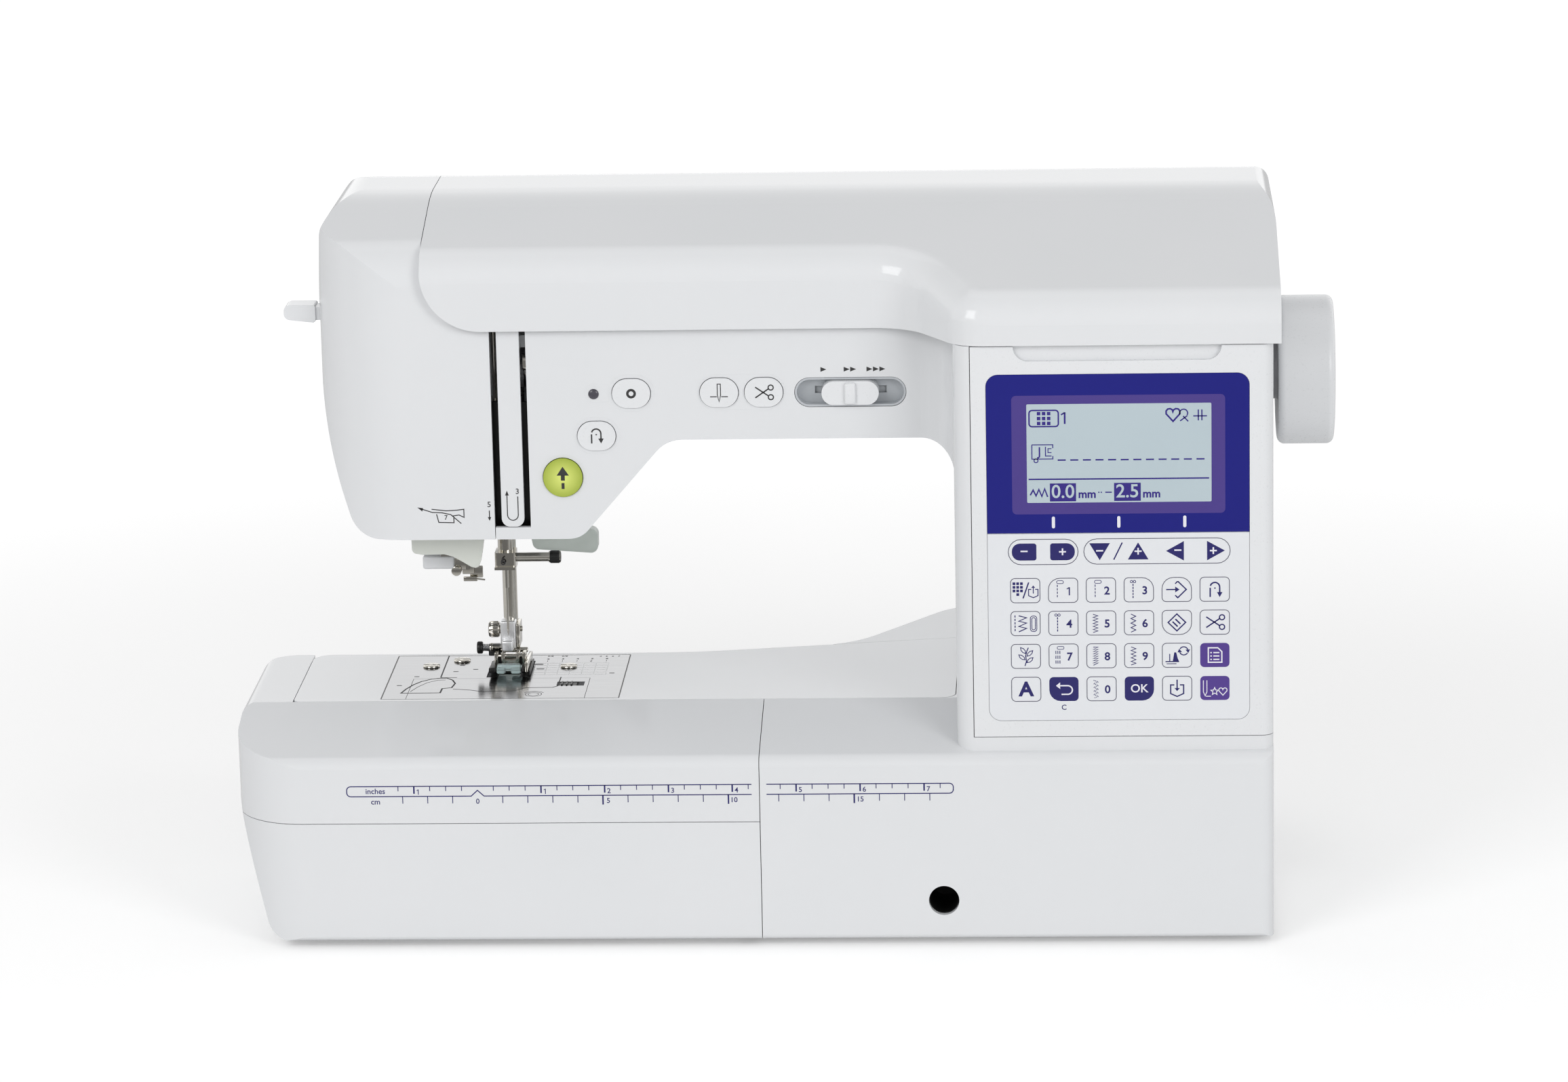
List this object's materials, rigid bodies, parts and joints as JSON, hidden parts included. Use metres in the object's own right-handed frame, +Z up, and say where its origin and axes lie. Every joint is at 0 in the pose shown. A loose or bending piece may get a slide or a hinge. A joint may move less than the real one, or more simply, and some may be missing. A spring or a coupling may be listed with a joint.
{
  "type": "sewing machine",
  "caption": "Computerised free-arm sewing machine with a key panel and display on its column, a hinged lid, a side handwheel and a slide-on bed extension with an accessory drawer.",
  "frame": {"origin": "on the table, under the middle of the machine's bounding box", "axes": "+X along the bed towards the handwheel, +Y from the front to the back, +Z up"},
  "size_m": [0.448, 0.196, 0.294],
  "materials": {
    "white_abs": "glossy moulded ABS",
    "panel_abs": "satin moulded ABS",
    "grey_abs": "satin moulded plastic",
    "black_plastic": "moulded plastic",
    "green_lens": "translucent button",
    "clear_lever": "translucent plastic",
    "display_lens": "back-printed acrylic",
    "key_film": "printed polyester film",
    "lcd": "liquid crystal display",
    "circuit_board": "glass epoxy",
    "brushed_plate": "brushed stainless steel",
    "nickel": "nickel plate",
    "steel": "ground steel",
    "cast_aluminium": "as cast",
    "bronze": "sintered bronze",
    "belt_rubber": "moulded rubber",
    "foot_rubber": "moulded rubber",
    "clear_plastic": "clear plastic"
  },
  "bodies": {
    "machine_body": {"base_pan": "white_abs", "rubber_feet": "foot_rubber", "front_cover": "white_abs", "rear_cover": "white_abs", "face_cover": "white_abs", "thread_guide_strip": "white_abs", "lid_hinge_pins": "steel", "top_deck": "white_abs", "spool_pin": "grey_abs", "bed_cover": "white_abs", "control_panel": "panel_abs", "display_window": "display_lens", "membrane_keypad": "key_film", "lcd_module": "lcd", "circuit_boards": "circuit_board", "slider_bezel": "grey_abs", "needle_plate": "brushed_plate", "plate_screws": "nickel", "bobbin_cover": "brushed_plate", "bobbin_case": "black_plastic", "main_frame": "cast_aluminium", "shaft_bushes": "bronze", "motor": "steel", "drive_belts": "belt_rubber", "thread_guard": "white_abs", "side_sockets": "black_plastic"},
    "lid": {"top_lid": "white_abs"},
    "main_shaft": {"upper_shaft": "steel", "handwheel": "panel_abs", "needle_crank": "steel"},
    "connecting_rod": {"connecting_rod": "steel"},
    "take_up_lever": {"take_up_lever": "nickel"},
    "needle_bar": {"needle_bar": "nickel", "needle_clamp": "nickel", "needle_clamp_screw": "nickel", "needle": "nickel"},
    "presser": {"presser_bar": "nickel", "foot_holder": "nickel", "foot_screw": "nickel", "presser_foot": "nickel"},
    "presser_lever": {"presser_lever": "clear_lever"},
    "lower_shaft": {"lower_shaft": "steel"},
    "hook": {"hook": "steel"},
    "motor_pulley": {"motor_pulley": "steel"},
    "bobbin": {"bobbin": "clear_plastic"},
    "feed_dog": {"feed_dog": "steel"},
    "speed_slider": {"speed_slider": "panel_abs"},
    "threader": {"threader_lever": "white_abs", "needle_threader": "nickel"},
    "bed_extension": {"bed_extension": "white_abs"},
    "accessory_drawer": {"accessory_drawer": "white_abs"},
    "knee_lifter_socket": {"knee_lifter_socket": "black_plastic"},
    "power_switch": {"power_switch": "black_plastic"},
    "bobbin_cover_latch": {"bobbin_cover_latch": "black_plastic"},
    "bobbin_winder": {"bobbin_winder": "grey_abs"},
    "start_button": {"start_button": "green_lens"},
    "reverse_button": {"reverse_button": "panel_abs"},
    "tie_off_button": {"tie_off_button": "panel_abs"},
    "needle_position_button": {"needle_position_button": "panel_abs"},
    "thread_cutter_button": {"thread_cutter_button": "panel_abs"}
  },
  "joints": [
    {"name": "lid_hinge", "type": "hinge", "parent": "machine_body", "child": "lid", "pos_m": [0, 0.0616, 0.25], "axis": [-1, 0, 0], "range_deg": [0, 95]},
    {"name": "main_shaft_spin", "type": "hinge", "parent": "machine_body", "child": "main_shaft", "pos_m": [0.076, -0.008, 0.218], "axis": [1, 0, 0], "continuous": true},
    {"name": "connecting_rod_pivot", "type": "hinge", "parent": "main_shaft", "child": "connecting_rod", "pos_m": [-0.112, -0.008, 0.2335], "axis": [1, 0, 0], "continuous": true},
    {"name": "take_up_swing", "type": "hinge", "parent": "machine_body", "child": "take_up_lever", "pos_m": [-0.1045, -0.024, 0.226], "axis": [1, 0, 0], "range_deg": [0, 50]},
    {"name": "needle_bar_slide", "type": "slide", "parent": "machine_body", "child": "needle_bar", "axis": [0, 0, 1], "range_m": [-0.031, 0]},
    {"name": "presser_lever_swing", "type": "hinge", "parent": "machine_body", "child": "presser_lever", "pos_m": [-0.111, 0.029, 0.16575], "axis": [0, -1, 0], "range_deg": [0, 60]},
    {"name": "presser_lift", "type": "slide", "parent": "machine_body", "child": "presser", "axis": [0, 0, 1], "range_m": [0, 0.006]},
    {"name": "lower_shaft_spin", "type": "hinge", "parent": "machine_body", "child": "lower_shaft", "pos_m": [0.026, -0.0052, 0.05], "axis": [1, 0, 0], "continuous": true},
    {"name": "hook_spin", "type": "hinge", "parent": "machine_body", "child": "hook", "pos_m": [-0.121, -0.028, 0.06], "axis": [0, 0, 1], "continuous": true},
    {"name": "motor_spin", "type": "hinge", "parent": "machine_body", "child": "motor_pulley", "pos_m": [0.161, 0.062, 0.052], "axis": [1, 0, 0], "continuous": true},
    {"name": "bobbin_spin", "type": "hinge", "parent": "machine_body", "child": "bobbin", "pos_m": [-0.121, -0.028, 0.07], "axis": [0, 0, 1], "continuous": true},
    {"name": "feed_dog_drop", "type": "slide", "parent": "machine_body", "child": "feed_dog", "axis": [0, 0, 1], "range_m": [-0.0025, 0]},
    {"name": "speed_slide", "type": "slide", "parent": "machine_body", "child": "speed_slider", "axis": [1, 0, 0], "range_m": [-0.0098, 0.0098]},
    {"name": "threader_slide", "type": "slide", "parent": "machine_body", "child": "threader", "axis": [0, 0, 1], "range_m": [-0.036, 0], "stiffness_N_per_m": 60, "springref_m": 0.03},
    {"name": "extension_slide", "type": "slide", "parent": "machine_body", "child": "bed_extension", "axis": [-1, 0, 0], "range_m": [0, 0.2]},
    {"name": "drawer_slide", "type": "slide", "parent": "bed_extension", "child": "accessory_drawer", "axis": [0, -1, 0], "range_m": [0, 0.036]},
    {"name": "knee_lifter_turn", "type": "hinge", "parent": "machine_body", "child": "knee_lifter_socket", "pos_m": [0.064, -0.083, 0.0192], "axis": [0, 1, 0], "range_deg": [0, 20], "stiffness_Nm_per_rad": 0.6},
    {"name": "power_rocker", "type": "hinge", "parent": "machine_body", "child": "power_switch", "pos_m": [0.194, 0.052, 0.024], "axis": [0, 1, 0], "range_deg": [-6, 6]},
    {"name": "bobbin_latch_slide", "type": "slide", "parent": "machine_body", "child": "bobbin_cover_latch", "axis": [1, 0, 0], "range_m": [0, 0.003]},
    {"name": "bobbin_winder_spin", "type": "hinge", "parent": "machine_body", "child": "bobbin_winder", "pos_m": [0.149, -0.006, 0.255], "axis": [0, 0, 1], "continuous": true},
    {"name": "start_button_press", "type": "slide", "parent": "machine_body", "child": "start_button", "axis": [0, 1, 0], "range_m": [0, 0.001], "stiffness_N_per_m": 800},
    {"name": "reverse_button_press", "type": "slide", "parent": "machine_body", "child": "reverse_button", "axis": [0, 1, 0], "range_m": [0, 0.001], "stiffness_N_per_m": 800},
    {"name": "tie_off_button_press", "type": "slide", "parent": "machine_body", "child": "tie_off_button", "axis": [0, 1, 0], "range_m": [0, 0.001], "stiffness_N_per_m": 800},
    {"name": "needle_position_button_press", "type": "slide", "parent": "machine_body", "child": "needle_position_button", "axis": [0, 1, 0], "range_m": [0, 0.001], "stiffness_N_per_m": 800},
    {"name": "thread_cutter_button_press", "type": "slide", "parent": "machine_body", "child": "thread_cutter_button", "axis": [0, 1, 0], "range_m": [0, 0.001], "stiffness_N_per_m": 800}
  ],
  "couplings": [
    {"joint": "connecting_rod_pivot", "follows": "main_shaft_spin", "ratio": -1},
    {"joint": "lower_shaft_spin", "follows": "main_shaft_spin", "ratio": 1},
    {"joint": "hook_spin", "follows": "main_shaft_spin", "ratio": 2},
    {"joint": "motor_spin", "follows": "main_shaft_spin", "ratio": 2.4444},
    {"joint": "presser_lever_swing", "follows": "presser_lift", "rad_per_m": 174.53}
  ]
}
